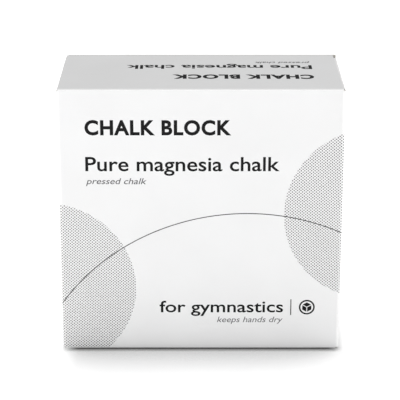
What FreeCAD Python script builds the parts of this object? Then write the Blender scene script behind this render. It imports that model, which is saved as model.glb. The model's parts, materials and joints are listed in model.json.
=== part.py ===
import FreeCAD, Part
import os
import re
import Sketcher

# Retail carton of pressed gymnastics chalk: a folding carton of thin board with a hinged,
# tucked lid and a snap-lock bottom, holding a two by two by two stack of blocks, each block
# wrapped in paper.  Millimetres and degrees.  +Z is up, the lid hinges on the front (-Y)
# panel and tucks in at the back, and the origin is the middle of the base.

SIZES = {
    "carton_width": 110.0,      # X, outside
    "carton_depth": 52.5,       # Y, outside
    "carton_height": 107.5,     # Z, outside
    "board": 0.45,              # thickness of the board
    "fold_ease": 0.176,         # how far a fold's outer line sits in from the sharp corner
    "corner_round": 0.4,        # outer rounding of the upright folds
    "layer_gap": 0.05,          # between stacked layers of board
    "lid_side_gap": 0.7,        # lid edge in from the side panel's face
    "lid_back_gap": 0.3,        # lid's back fold in front of the back panel
    "tuck_length": 11.0,        # depth of the tuck flap
    "tuck_lean": 6.3,           # the tuck flap leans in, so that it swings clear
    "tuck_side_gap": 1.6,       # tuck flap edge in from the side panel's face
    "tuck_corner": 7.0,         # rounding of its lower corners
    "dust_reach": 32.0,         # dust flap, from fold to free edge
    "dust_front_gap": 2.2,      # dust flap clear of the front fold
    "dust_back_gap": 3.6,       # dust flap clear of the tuck flap
    "dust_slope": 0.63,         # rise of the dust flap's front edge per unit of reach
    "dust_corner": 6.0,         # slope of its back corner
    "glue_width": 14.0,         # glued seam flap inside the left panel
    "glue_inset": 6.0,          # its sloped ends
    "bottom_side_gap": 0.8,     # bottom flap edge in from the side panel
    "bottom_side_reach": 30.0,  # small bottom flaps, from wall to free edge
    "bottom_side_taper": 12.0,  # slope of their free corners
    "bottom_back_reach": 33.0,  # slotted bottom flap
    "bottom_back_taper": 10.0,  # slope of its free corners
    "bottom_front_reach": 26.0,  # bottom flap with the tongue
    "tongue_width": 40.0,
    "tongue_ramp": 5.0,         # where the tongue climbs through the slot
    "tongue_tip": 7.0,          # length of tongue lying on the slotted flap
    "slot_play": 1.5,           # slot longer than the tongue is wide, each end
    "block_width": 53.2,        # bare block, X
    "block_depth": 24.2,        # bare block, Y
    "block_height": 51.7,       # bare block, Z
    "block_chamfer": 0.8,       # pressed blocks leave the die with small chamfers
    "paper": 0.15,              # wrapper, with its overlaps
    "paper_play": 0.05,         # block to wrapper
    "stack_lift": 0.1,          # stack above the last bottom layer
    "stack_front_gap": 0.1,     # stack behind the front panel
    "stack_shift": 0.22,        # stack moved off the glued seam, in X
    "column_gap": 0.4,          # between the two columns of blocks
}

COLUMNS = {"left": -1, "right": 1}
ROWS = {"front": 0, "back": 1}
LAYERS = {"bottom": 0, "top": 1}
PITCH_X = "(block_width + 2 * paper + 2 * paper_play)"
PITCH_Y = "(block_depth + 2 * paper + 2 * paper_play)"
PITCH_Z = "(block_height + 2 * paper + 2 * paper_play)"
STACK_BASE = "(4 * board + stack_lift)"
STACK_FRONT = "(-carton_depth / 2 + board + stack_front_gap)"
SIDE_TOP = "(carton_height - board - layer_gap)"
LID_BACK = "(carton_depth / 2 - board - lid_back_gap)"

doc = FreeCAD.newDocument("chalk_carton")
sheet = doc.addObject("Spreadsheet::Sheet", "Sizes")
for row, (alias, size) in enumerate(SIZES.items(), start=1):
    sheet.set(f"A{row}", alias.replace("_", " "))
    sheet.set(f"B{row}", str(size))
    sheet.setAlias(f"B{row}", alias)
doc.recompute()


def bound(expression):
    """The expression with each size's name pointing at the sheet's cell."""
    return re.sub(r"[a-z_]+", lambda word: f"Sizes.{word[0]}" if word[0] in SIZES else word[0],
                  expression)


def value(expression):
    """The expression's number with the sheet's present sizes."""
    return float(sheet.evalExpression(expression))


def new_body(label):
    """An empty body whose label names the sub-part."""
    owner = doc.addObject("PartDesign::Body", label)
    owner.Label = label
    return owner


def outline(owner, role, corners, lift="0"):
    """A closed outline on one of the body's own planes, through corners given as expressions."""
    sketch = owner.newObject("Sketcher::SketchObject", f"{owner.Name}_outline")
    plane = next(f for f in owner.Origin.OriginFeatures if f.Role == role)
    sketch.AttachmentSupport = [(plane, "")]
    sketch.MapMode = "FlatFace"
    sketch.setExpression("AttachmentOffset.Base.z", bound(lift))
    points = [FreeCAD.Vector(value(across), value(up), 0) for across, up in corners]
    for start, end in zip(points, points[1:] + points[:1]):
        sketch.addGeometry(Part.LineSegment(start, end))
    count = len(points)
    for edge in range(count):
        sketch.addConstraint(
            Sketcher.Constraint("Coincident", edge, 2, (edge + 1) % count, 1))
    for edge, (point, pair) in enumerate(zip(points, corners)):
        for way, place, expression in (("X", point.x, pair[0]), ("Y", point.y, pair[1])):
            index = sketch.addConstraint(
                Sketcher.Constraint(f"Distance{way}", -1, 1, edge, 1, place))
            sketch.setExpression(f"Constraints[{index}]", bound(expression))
    return sketch


def pad(owner, sketch, length, symmetric=True):
    """A sheet or bar of the outline's shape: to both sides, or along the plane's normal."""
    feature = owner.newObject("PartDesign::Pad", f"{owner.Name}_pad")
    feature.Profile = sketch
    feature.SideType = "Symmetric" if symmetric else "One side"
    feature.setExpression("Length", bound(length))
    doc.recompute()
    return feature


def cut_through(owner, sketch):
    """Cuts the outline right through the body, and makes sure that something was cut."""
    before = owner.Shape.Volume
    feature = owner.newObject("PartDesign::Pocket", f"{owner.Name}_cut")
    feature.Profile = sketch
    feature.SideType = "Symmetric"
    feature.setExpression("Length", bound("4 * carton_height"))
    doc.recompute()
    if owner.Shape.Volume >= before - 1e-6:
        raise RuntimeError(f"{owner.Label}: the cut removed nothing")
    return feature


def ease_edges(owner, kind, size, wanted):
    """Rounds or chamfers the edges whose middle point passes the test."""
    base = owner.Tip
    names = [f"Edge{number}" for number, edge in enumerate(base.Shape.Edges, start=1)
             if wanted(edge)]
    feature = owner.newObject(f"PartDesign::{kind}", f"{owner.Name}_{kind.lower()}")
    feature.Base = (base, names)
    feature.setExpression("Radius" if kind == "Fillet" else "Size", bound(size))
    doc.recompute()
    return feature


def is_upright(edge):
    """Whether a straight edge runs along Z."""
    return edge.BoundBox.ZLength > 10 * max(edge.BoundBox.XLength, edge.BoundBox.YLength, 0.01)


def fold(across, up, inward, toward):
    """Three corners that end a board at a fold: outer line, fold line, inner line.

    The sharp corner is at (across, up).  inward is the sign of the board's thickness
    direction along the first axis, toward the sign of the way to the board along the second.
    """
    return [
        (across, f"{up} + {2 * toward} * fold_ease"),
        (f"{across} + {inward} * fold_ease", f"{up} + {toward} * fold_ease"),
        (f"{across} + {inward} * board", f"{up} + {toward} * board"),
    ]


def swapped(corners):
    """The same corners with the two axes exchanged."""
    return [(up, across) for across, up in corners]


def front_panel():
    """Front of the carton, as wide as the carton; its top edge is the lid's hinge fold."""
    owner = new_body("front_panel")
    face = "-carton_depth / 2"
    section = [(f"{face} + board", "0"), (face, "0")]
    section += fold(face, "carton_height", 1, -1)
    pad(owner, outline(owner, "YZ_Plane", section), "carton_width")
    outside = -SIZES["carton_depth"] / 2
    ease_edges(owner, "Fillet", "corner_round",
               lambda edge: is_upright(edge) and abs(edge.CenterOfMass.y - outside) < 0.01)
    return owner


def back_panel():
    """Back of the carton, with a free top edge that the tuck flap slips in behind."""
    owner = new_body("back_panel")
    face = "carton_depth / 2"
    top = "carton_height - board / 2"
    section = [(f"{face} - board", "0"), (face, "0"), (face, top), (f"{face} - board", top)]
    pad(owner, outline(owner, "YZ_Plane", section), "carton_width")
    outside = SIZES["carton_depth"] / 2
    ease_edges(owner, "Fillet", "corner_round",
               lambda edge: is_upright(edge) and abs(edge.CenterOfMass.y - outside) < 0.01)
    return owner


def side_panel(side, sign):
    """A side of the carton between front and back; its top edge is a dust flap's fold."""
    owner = new_body(f"{side}_panel")
    face = f"{sign} * carton_width / 2"
    section = [(f"{face} - {sign} * board", "0"), (face, "0")]
    section += fold(face, SIDE_TOP, -sign, -1)
    pad(owner, outline(owner, "XZ_Plane", section), "carton_depth - 2 * board")
    return owner


def glue_flap():
    """Seam flap: continues the back panel forward inside the left panel, glued to it."""
    owner = new_body("glue_flap")
    back = "carton_depth / 2 - board"
    front = f"{back} - glue_width"
    low = "4 * board + 1"
    high = "carton_height - 3"
    shape = [
        (back, low),
        (back, high),
        (front, f"{high} - glue_inset"),
        (front, f"{low} + glue_inset"),
    ]
    pad(owner, outline(owner, "YZ_Plane", shape, "-carton_width / 2 + board"), "board", False)
    return owner


def bottom_flap_side(side, sign):
    """Small bottom flap folded in from a side panel, second layer up from the base."""
    owner = new_body(f"bottom_flap_{side}")
    wall = f"{sign} * (carton_width / 2 - board)"
    edge = f"{wall} - {sign} * bottom_side_reach"
    half = "(carton_depth / 2 - board - bottom_side_gap)"
    shape = [
        (wall, f"-{half}"),
        (f"{wall} - {sign} * bottom_side_reach / 3", f"-{half}"),
        (edge, f"-{half} + bottom_side_taper"),
        (edge, f"{half} - bottom_side_taper"),
        (f"{wall} - {sign} * bottom_side_reach / 3", half),
        (wall, half),
    ]
    pad(owner, outline(owner, "XY_Plane", shape, "board"), "board", False)
    return owner


def bottom_flap_back():
    """Wide bottom flap folded in first from the back panel, with the slot for the tongue."""
    owner = new_body("bottom_flap_back")
    wall = "carton_depth / 2 - board"
    edge = f"{wall} - bottom_back_reach"
    half = "(carton_width / 2 - board - bottom_side_gap)"
    shape = [
        (f"-{half}", wall),
        (f"-{half}", f"{edge} + bottom_back_taper"),
        (f"-{half} + bottom_back_taper", edge),
        (f"{half} - bottom_back_taper", edge),
        (half, f"{edge} + bottom_back_taper"),
        (half, wall),
    ]
    pad(owner, outline(owner, "XY_Plane", shape, "2 * board"), "board", False)
    slot_half = "(tongue_width / 2 + slot_play)"
    ramp = "-carton_depth / 2 + board + bottom_front_reach"
    slot = [
        (f"-{slot_half}", f"{ramp} - layer_gap"),
        (slot_half, f"{ramp} - layer_gap"),
        (slot_half, f"{ramp} + tongue_ramp + layer_gap"),
        (f"-{slot_half}", f"{ramp} + tongue_ramp + layer_gap"),
    ]
    cut_through(owner, outline(owner, "XY_Plane", slot))
    return owner


def bottom_flap_front():
    """Outermost bottom flap, folded in last; its tongue climbs through the slot and locks."""
    owner = new_body("bottom_flap_front")
    wall = "-carton_depth / 2 + board"
    edge = f"{wall} + bottom_front_reach"
    half = "(carton_width / 2 - board - bottom_side_gap)"
    shape = [
        (f"-{half}", wall),
        (half, wall),
        (half, f"{edge} - bottom_front_reach / 3"),
        ("tongue_width / 2", edge),
        ("-tongue_width / 2", edge),
        (f"-{half}", f"{edge} - bottom_front_reach / 3"),
    ]
    pad(owner, outline(owner, "XY_Plane", shape), "board", False)
    climb = "3 * board + layer_gap"
    tongue = [
        (f"{edge} - 1", "0"),
        (edge, "0"),
        (f"{edge} + tongue_ramp", climb),
        (f"{edge} + tongue_ramp + tongue_tip", climb),
        (f"{edge} + tongue_ramp + tongue_tip", f"{climb} + board"),
        (f"{edge} + tongue_ramp", f"{climb} + board"),
        (edge, "board"),
        (f"{edge} - 1", "board"),
    ]
    pad(owner, outline(owner, "YZ_Plane", tongue), "tongue_width")
    return owner


def lid_panel():
    """Lid: from the hinge fold on the front panel to the fold of the tuck flap."""
    owner = new_body("lid_panel")
    section = swapped(fold("carton_height", "-carton_depth / 2", -1, 1))
    section += reversed(swapped(fold("carton_height", LID_BACK, -1, -1)))
    pad(owner, outline(owner, "YZ_Plane", section), "carton_width - 2 * lid_side_gap")
    return owner


def lid_tuck_flap():
    """Tuck flap: hangs from the lid's back fold, leaning in, with rounded lower corners."""
    owner = new_body("lid_tuck_flap")
    opened = "tan(46 + tuck_lean)"
    section = [
        ("fold_ease", "-fold_ease"),
        ("0", "0"),
        ("fold_ease - board", f"(fold_ease - board) * {opened}"),
        ("fold_ease - board", "-tuck_length"),
        ("fold_ease", "-tuck_length"),
    ]
    pad(owner, outline(owner, "YZ_Plane", section), "carton_width - 2 * tuck_side_gap")
    low = -SIZES["tuck_length"]
    ease_edges(owner, "Fillet", "tuck_corner",
               lambda edge: abs(edge.CenterOfMass.z - low) < 0.01
               and edge.BoundBox.YLength > 0.4 and edge.BoundBox.XLength < 0.01)
    owner.setExpression("Placement.Base.y", bound(f"{LID_BACK} - fold_ease"))
    owner.setExpression("Placement.Base.z", bound("carton_height - fold_ease"))
    owner.Placement.Rotation = FreeCAD.Rotation(FreeCAD.Vector(1, 0, 0), 0)
    owner.setExpression("Placement.Rotation.Axis.x", "1")
    owner.setExpression("Placement.Rotation.Axis.y", "0")
    owner.setExpression("Placement.Rotation.Axis.z", "0")
    owner.setExpression("Placement.Rotation.Angle", bound("-tuck_lean"))
    return owner


def dust_flap(side, sign):
    """Dust flap under the lid, folded in from a side panel, with a sloped front edge."""
    owner = new_body(f"dust_flap_{side}")
    face = f"{sign} * carton_width / 2"
    free = f"{face} - {sign} * dust_reach"
    section = swapped(fold(SIDE_TOP, face, -1, -sign))
    section += [(free, f"{SIDE_TOP} - board"), (free, SIDE_TOP)]
    pad(owner, outline(owner, "XZ_Plane", section), "carton_depth - 2 * board")
    front = "-carton_depth / 2"
    start = f"{front} + dust_front_gap"
    back = "carton_depth / 2"
    stop = f"{back} - board - dust_back_gap"
    beyond = f"{face} + {sign}"
    past = f"{free} - {sign}"
    cut_through(owner, outline(owner, "XY_Plane", [
        (beyond, f"{front} - 1"),
        (past, f"{front} - 1"),
        (past, f"{start} + dust_slope * (dust_reach + 1)"),
        (beyond, f"{start} - dust_slope"),
    ]))
    cut_through(owner, outline(owner, "XY_Plane", [
        (beyond, f"{back} + 1"),
        (past, f"{back} + 1"),
        (past, f"{stop} - dust_corner"),
        (f"{free} + {sign} * dust_corner", stop),
        (beyond, stop),
    ]))
    return owner


def place_block(column, tier, layer):
    """Lowest corner of one wrapped block's cell in the stack, as three expressions."""
    return (f"stack_shift + {COLUMNS[column]} * column_gap / 2 + {min(COLUMNS[column], 0)} * {PITCH_X}",
            f"{STACK_FRONT} + {ROWS[tier]} * {PITCH_Y}",
            f"{STACK_BASE} + {LAYERS[layer]} * {PITCH_Z}")


def chalk_block(name, corner):
    """A pressed block of magnesia with chamfered edges, standing inside its wrapper."""
    owner = new_body(f"chalk_block_{name}")
    shape = [("0", "0"), ("block_width", "0"), ("block_width", "block_depth"),
             ("0", "block_depth")]
    pad(owner, outline(owner, "XY_Plane", shape), "block_height", False)
    ease_edges(owner, "Chamfer", "block_chamfer", lambda edge: True)
    for axis, place in zip("xyz", corner):
        owner.setExpression(f"Placement.Base.{axis}", bound(f"{place} + paper + paper_play"))
    return owner


def wrapper(name, corner):
    """The paper around one block: a closed skin with the block's room inside."""
    boxes = []
    for part, inset in (("outside", "0"), ("room", "paper")):
        box = doc.addObject("Part::Box", f"wrapper_{name}_{part}")
        for side, pitch in (("Length", PITCH_X), ("Width", PITCH_Y), ("Height", PITCH_Z)):
            box.setExpression(side, bound(f"{pitch} - 2 * {inset}"))
        for axis in "xyz":
            box.setExpression(f"Placement.Base.{axis}", bound(inset))
        boxes.append(box)
    skin = doc.addObject("Part::Cut", f"wrapper_{name}")
    skin.Label = f"wrapper_{name}"
    skin.Base, skin.Tool = boxes
    for axis, place in zip("xyz", corner):
        skin.setExpression(f"Placement.Base.{axis}", bound(place))
    return skin


def build_all():
    """Every sub-part of the carton and its contents, in the order they are put together."""
    parts = [front_panel(), back_panel(), side_panel("left", -1), side_panel("right", 1),
             glue_flap(), bottom_flap_back(), bottom_flap_side("left", -1),
             bottom_flap_side("right", 1), bottom_flap_front()]
    for layer in LAYERS:
        for tier in ROWS:
            for column in COLUMNS:
                name = f"{layer}_{tier}_{column}"
                corner = place_block(column, tier, layer)
                parts += [chalk_block(name, corner), wrapper(name, corner)]
    parts += [dust_flap("left", -1), dust_flap("right", 1), lid_panel(), lid_tuck_flap()]
    return parts


def write_parts(parts):
    """Checks every object of the document, then writes one STEP file for each sub-part."""
    failed = [thing.Name for thing in doc.Objects
              if "Invalid" in thing.State or "Error" in thing.State]
    failed += [part.Label for part in parts if part.Shape.isNull() or not part.Shape.isValid()]
    if failed:
        raise RuntimeError(f"failed: {failed}")
    os.makedirs("parts", exist_ok=True)
    for part in parts:
        part.Shape.exportStep(f"parts/{part.Label}.step")
        size = part.Shape.BoundBox
        print(f"{part.Label}: {size.XLength:.2f} x {size.YLength:.2f} x {size.ZLength:.2f} mm, "
              f"{part.Shape.Volume / 1000:.3f} cm3, solids {len(part.Shape.Solids)}")


sub_parts = build_all()
doc.recompute()
write_parts(sub_parts)
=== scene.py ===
"""A folding carton of pressed chalk blocks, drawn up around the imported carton.

The carton is made as it is in the board shop: flat blanks are cut, scored into a
grid, folded along their creases and given the board's thickness.  The print, the
wrapped blocks and the studio are separate classes, and main() sets them up in order.
"""

import json
import logging
import math
from dataclasses import dataclass, field
from enum import Enum, IntEnum
from typing import Any, Callable, Iterable, Optional

import bmesh
import bpy
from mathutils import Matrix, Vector, noise


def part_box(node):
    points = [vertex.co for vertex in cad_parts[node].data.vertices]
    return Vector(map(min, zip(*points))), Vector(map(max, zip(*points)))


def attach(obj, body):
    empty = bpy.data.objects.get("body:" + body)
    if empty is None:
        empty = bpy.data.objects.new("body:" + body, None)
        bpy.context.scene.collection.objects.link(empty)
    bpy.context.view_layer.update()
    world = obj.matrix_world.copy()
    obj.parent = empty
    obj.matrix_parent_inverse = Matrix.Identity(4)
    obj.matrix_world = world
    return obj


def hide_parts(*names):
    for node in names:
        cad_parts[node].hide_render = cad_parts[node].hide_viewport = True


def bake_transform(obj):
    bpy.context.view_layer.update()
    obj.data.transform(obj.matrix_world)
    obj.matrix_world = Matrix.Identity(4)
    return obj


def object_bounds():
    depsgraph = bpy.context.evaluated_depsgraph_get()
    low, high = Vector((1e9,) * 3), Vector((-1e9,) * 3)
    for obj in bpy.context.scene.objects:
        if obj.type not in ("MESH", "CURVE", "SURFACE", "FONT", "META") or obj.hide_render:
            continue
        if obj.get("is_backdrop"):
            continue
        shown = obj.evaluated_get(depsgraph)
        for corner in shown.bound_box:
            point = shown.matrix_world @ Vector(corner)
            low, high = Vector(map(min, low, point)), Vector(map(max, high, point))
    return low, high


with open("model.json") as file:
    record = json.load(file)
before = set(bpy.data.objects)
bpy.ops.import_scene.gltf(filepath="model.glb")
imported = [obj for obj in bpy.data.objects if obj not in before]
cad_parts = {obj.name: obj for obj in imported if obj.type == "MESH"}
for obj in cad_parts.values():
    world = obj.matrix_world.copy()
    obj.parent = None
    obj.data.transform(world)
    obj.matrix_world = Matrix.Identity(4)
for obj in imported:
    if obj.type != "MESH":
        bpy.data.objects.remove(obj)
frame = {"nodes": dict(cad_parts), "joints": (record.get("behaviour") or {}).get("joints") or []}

MM = 0.001
QUARTER = math.pi / 2

CELL = 2.6 * MM          # spacing of the grid that lets the board bow
CREASE_STEPS = 6         # facets round a crease
CREASE_RUB_AND_HIGHLIGHT = 0.7 * MM    # how far the rubbing and painted highlight reach from a crease
LEAST_STRIP = 0.01 * MM  # scores nearer than this are made one
CORNER_STEPS = 8         # facets round a cut corner
WAVES = 28.0             # the board's uneven bow, in waves to the metre
WAVE_SHARE = 0.45        # how much of the bow is uneven
WELD = 1e-5              # letter points nearer than this share of an em are joined
TINY = 1e-7

LOG = logging.getLogger("chalk_carton")

Colour = tuple[float, float, float]
Place = tuple[float, float, float]
Socket = bpy.types.NodeSocket
Material = bpy.types.Material
Piece = bpy.types.Object


class Ink(Enum):
    """The two inks of the print, by their colour."""

    BLACK = (0.006, 0.006, 0.0065)
    GREY = (0.10, 0.10, 0.105)


class Side(Enum):
    """A side of the carton, by its sign along X."""

    LEFT = -1
    RIGHT = 1


# ---------------------------------------------------------------- materials


class Recipe:
    """A material and its node tree, put together one node at a time."""

    def __init__(self, name: str) -> None:
        """Starts an empty material.

        Args:
            name: the finish's name.
        """
        self.material = bpy.data.materials.new(name)
        self.material.use_nodes = True
        self.tree = self.material.node_tree
        self.tree.nodes.clear()

    @classmethod
    def of_tree(cls, tree: bpy.types.NodeTree) -> "Recipe":
        """Starts over with another owner's tree, such as the room's.

        Args:
            tree: the node tree, which is emptied.

        Returns:
            A recipe that adds to the tree.
        """
        recipe = cls.__new__(cls)
        recipe.tree = tree
        tree.nodes.clear()
        return recipe

    def add(self, kind: str, inputs: Optional[dict] = None, **settings: Any) -> bpy.types.Node:
        """Adds a node.

        Args:
            kind: the node's type, without the leading ShaderNode.
            inputs: socket name or number, and a value or the socket to link.
            **settings: the node's own properties.

        Returns:
            The new node.
        """
        node = self.tree.nodes.new(f"ShaderNode{kind}")
        for name, setting in settings.items():
            setattr(node, name, setting)
        for name, given in (inputs or {}).items():
            if isinstance(given, Socket):
                self.tree.links.new(given, node.inputs[name])
            else:
                node.inputs[name].default_value = given
        return node

    def maths(self, operation: str, first: Any, second: Any = 0.0, third: Any = 0.0) -> Socket:
        """The result of a Math node, whose inputs are values or sockets."""
        values = {0: first, 1: second, 2: third}
        return self.add("Math", values, operation=operation).outputs[0]

    def vector(self, operation: str, first: Any, second: Any, output: str = "Vector") -> Socket:
        """The Vector or Value result of a Vector Math node."""
        return self.add("VectorMath", {0: first, 1: second}, operation=operation).outputs[output]

    def ramp(self, value: Socket, low: float, high: float, start: float = 0.0,
             end: float = 1.0) -> Socket:
        """The value, with low to high mapped to start to end, and held beyond them."""
        limits = {"From Min": low, "From Max": high, "To Min": start, "To Max": end}
        return self.add("MapRange", {"Value": value, **limits}).outputs[0]

    def blend(self, share: Any, first: Any, second: Any) -> Socket:
        """Mixes two colours.

        Args:
            share: the second colour's share.
            first: the first colour or socket.
            second: the second colour or socket.

        Returns:
            The mixed colour's socket.
        """
        node = self.add("Mix", {0: share}, data_type="RGBA")
        for slot, given in ((6, first), (7, second)):
            if isinstance(given, Socket):
                self.tree.links.new(given, node.inputs[slot])
            else:
                node.inputs[slot].default_value = (*given, 1.0)
        return node.outputs[2]

    def speckle(self, where: Socket, scale: float, low: float, high: float,
                detail: float = 3.0) -> Socket:
        """Noise of scale clouds to the metre, with low to high spread over 0 to 1."""
        cloud = self.add("TexNoise", {"Vector": where, "Scale": scale, "Detail": detail})
        return self.ramp(cloud.outputs[0], low, high)

    def finish(self, colour: Socket, roughness: Any, height: Socket, depth: float,
               **shader: float) -> Material:
        """Ends the tree in a Principled surface.

        Args:
            colour: the base colour's socket.
            roughness: the roughness, a value or a socket.
            height: the bump's height socket.
            depth: the bump's depth in metres.
            **shader: other sockets' values, with _ for a space.

        Returns:
            The material.
        """
        bump = self.add("Bump", {"Height": height, "Strength": 1.0, "Distance": depth})
        surface = self.add("BsdfPrincipled", {"Base Color": colour, "Roughness": roughness,
                                              "Normal": bump.outputs[0]})
        for name, setting in shader.items():
            surface.inputs[name.replace("_", " ")].default_value = setting
        self.add("OutputMaterial", {"Surface": surface.outputs[0]})
        return self.material

    def place(self) -> Socket:
        """The object's own coordinates, in metres."""
        return self.add("TexCoord").outputs["Object"]

    def attribute(self, name: str, output: str = "Fac") -> Socket:
        """The socket of one of the piece's own attributes."""
        return self.add("Attribute", attribute_name=name).outputs[output]


@dataclass(frozen=True)
class DotDisc:
    """A circle on the flat blank, by its centre and radius in millimetres."""

    across: float
    up: float
    radius: float


@dataclass(frozen=True)
class Artwork:
    """The dotted discs and the thin arc that run round the carton's corners."""

    discs: tuple[DotDisc, ...] = (DotDisc(-6.1, 26.3, 35.5), DotDisc(122.8, 56.9, 35.5))
    dot_pitch: float = 1.32
    dot_row: float = 0.577
    dot_radius: float = 0.25
    dot_ink: Colour = (0.05, 0.05, 0.052)
    arc: DotDisc = DotDisc(72.9, -31.3, 88.8)
    arc_width: float = 0.36

    def dots(self, recipe: Recipe, flat: Socket) -> Socket:
        """The staggered dots, kept to the discs.

        Args:
            recipe: the material they are printed on.
            flat: the blank's coordinates.

        Returns:
            A socket that is 1 on a dot.
        """
        cell = (self.dot_pitch, 2 * self.dot_row, 1.0)
        near = []
        for shift in (0.0, 0.5):
            turned = recipe.vector("DIVIDE", flat, cell)
            turned = recipe.vector("ADD", turned, (shift, shift, 0.0))
            turned = recipe.vector("FRACTION", turned, (0.0, 0.0, 0.0))
            turned = recipe.vector("SUBTRACT", turned, (0.5, 0.5, 0.0))
            turned = recipe.vector("MULTIPLY", turned, cell)
            near.append(recipe.vector("LENGTH", turned, (0.0, 0.0, 0.0), "Value"))
        dot = recipe.maths("LESS_THAN", recipe.maths("MINIMUM", *near), self.dot_radius)
        inside = [recipe.maths("LESS_THAN", self.away(recipe, flat, disc), disc.radius)
                  for disc in self.discs]
        return recipe.maths("MULTIPLY", dot, recipe.maths("MAXIMUM", *inside))

    def line(self, recipe: Recipe, flat: Socket) -> Socket:
        """The thin arc, as a socket that is 1 on the line."""
        away = self.away(recipe, flat, self.arc)
        return recipe.maths("COMPARE", away, self.arc.radius, self.arc_width / 2)

    @staticmethod
    def away(recipe: Recipe, flat: Socket, disc: DotDisc) -> Socket:
        """The distance on the blank to a disc's centre, as a socket."""
        return recipe.vector("DISTANCE", flat, (disc.across, disc.up, 0.0), "Value")


@dataclass(frozen=True)
class CoatedBoard:
    """The carton's clay-coated outer face: white, smooth, rubbed and painted with a highlight at
    the creases.
    """

    name: str
    artwork: Optional[Artwork] = None
    white: Colour = (0.875, 0.876, 0.878)
    shaded: Colour = (0.845, 0.845, 0.846)
    rub_and_highlight_white: Colour = (0.98, 0.98, 0.976)
    roughness: float = 0.40
    relief: float = 0.004 * MM

    def make(self) -> Material:
        """Builds the coated face's material.

        Returns:
            The material.
        """
        recipe = Recipe(self.name)
        where = recipe.place()
        clouds = recipe.speckle(where, 38.0, 0.3, 0.7, 4.0)
        fibre = recipe.speckle(where, 2600.0, 0.25, 0.75, 3.0)
        worn = recipe.speckle(where, 900.0, 0.1, 0.45, 5.0)
        rub_and_highlight = recipe.maths("MULTIPLY", recipe.attribute("rub_and_highlight"), worn)
        colour = recipe.blend(clouds, self.white, self.shaded)
        # The creases are painted whiter: partly rubbed board, partly a painted highlight on the
        # fold.
        colour = recipe.blend(recipe.maths("MULTIPLY", rub_and_highlight, 0.9), colour, self.rub_and_highlight_white)
        rough = recipe.maths("MULTIPLY_ADD", fibre, 0.06, self.roughness)
        if self.artwork:
            flat = recipe.attribute("flat", "Vector")
            dots = self.artwork.dots(recipe, flat)
            line = self.artwork.line(recipe, flat)
            colour = recipe.blend(dots, colour, self.artwork.dot_ink)
            colour = recipe.blend(line, colour, Ink.BLACK.value)
        rough = recipe.maths("MULTIPLY_ADD", rub_and_highlight, -0.16, rough)
        height = recipe.maths("MULTIPLY_ADD", clouds, 2.0, fibre)
        return recipe.finish(colour, rough, height, self.relief, Coat_Weight=0.15,
                             Coat_Roughness=0.25, Specular_IOR_Level=0.45)


@dataclass(frozen=True)
class Liner:
    """The board's uncoated inside: recycled grey-white fibre with darker flecks."""

    pale: Colour = (0.74, 0.725, 0.69)
    dark: Colour = (0.64, 0.62, 0.58)
    fleck: Colour = (0.36, 0.34, 0.30)
    roughness: float = 0.93
    relief: float = 0.012 * MM

    def make(self) -> Material:
        """Builds the inside's material.

        Returns:
            The material.
        """
        recipe = Recipe("uncoated_board")
        where = recipe.place()
        long_way = recipe.add("Mapping", {"Vector": where, "Scale": (1.0, 0.35, 1.0)})
        fibre = recipe.speckle(long_way.outputs[0], 1500.0, 0.3, 0.7, 5.0)
        clouds = recipe.speckle(where, 130.0, 0.35, 0.65)
        flecks = recipe.speckle(long_way.outputs[0], 700.0, 0.68, 0.74, 2.0)
        share = recipe.maths("MULTIPLY_ADD", clouds, 0.5, recipe.maths("MULTIPLY", fibre, 0.5))
        colour = recipe.blend(share, self.pale, self.dark)
        colour = recipe.blend(recipe.maths("MULTIPLY", flecks, 0.6), colour, self.fleck)
        return recipe.finish(colour, self.roughness, fibre, self.relief,
                             Specular_IOR_Level=0.2, Sheen_Weight=0.08)


@dataclass(frozen=True)
class CutEdge:
    """The knife-cut edge of the board, where its plies show as fine streaks."""

    pale: Colour = (0.74, 0.72, 0.68)
    dark: Colour = (0.52, 0.49, 0.44)
    roughness: float = 0.9
    relief: float = 0.02 * MM

    def make(self) -> Material:
        """Builds the edge's material.

        Returns:
            The material.
        """
        recipe = Recipe("cut_board_edge")
        where = recipe.place()
        plies = recipe.speckle(where, 5200.0, 0.35, 0.65, 2.0)
        long_way = recipe.speckle(where, 420.0, 0.35, 0.65, 2.0)
        share = recipe.maths("MULTIPLY", plies, recipe.maths("MULTIPLY_ADD", long_way, 0.6, 0.4))
        colour = recipe.blend(share, self.pale, self.dark)
        return recipe.finish(colour, self.roughness, plies, self.relief,
                             Specular_IOR_Level=0.2)


@dataclass(frozen=True)
class PrintedInk:
    """Offset ink on coated board: dense, matt and slightly uneven."""

    name: str
    ink: Ink
    thinning: float = 0.012
    roughness: float = 0.62
    relief: float = 0.002 * MM

    def make(self) -> Material:
        """Builds the ink's material.

        Returns:
            The material.
        """
        recipe = Recipe(self.name)
        where = recipe.place()
        grain = recipe.speckle(where, 5000.0, 0.3, 0.7, 2.0)
        clouds = recipe.speckle(where, 500.0, 0.3, 0.7, 2.0)
        thin = tuple(part + self.thinning for part in self.ink.value)
        colour = recipe.blend(recipe.maths("MULTIPLY", grain, clouds), self.ink.value, thin)
        rough = recipe.maths("MULTIPLY_ADD", grain, 0.1, self.roughness)
        return recipe.finish(colour, rough, grain, self.relief, Specular_IOR_Level=0.12)


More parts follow.
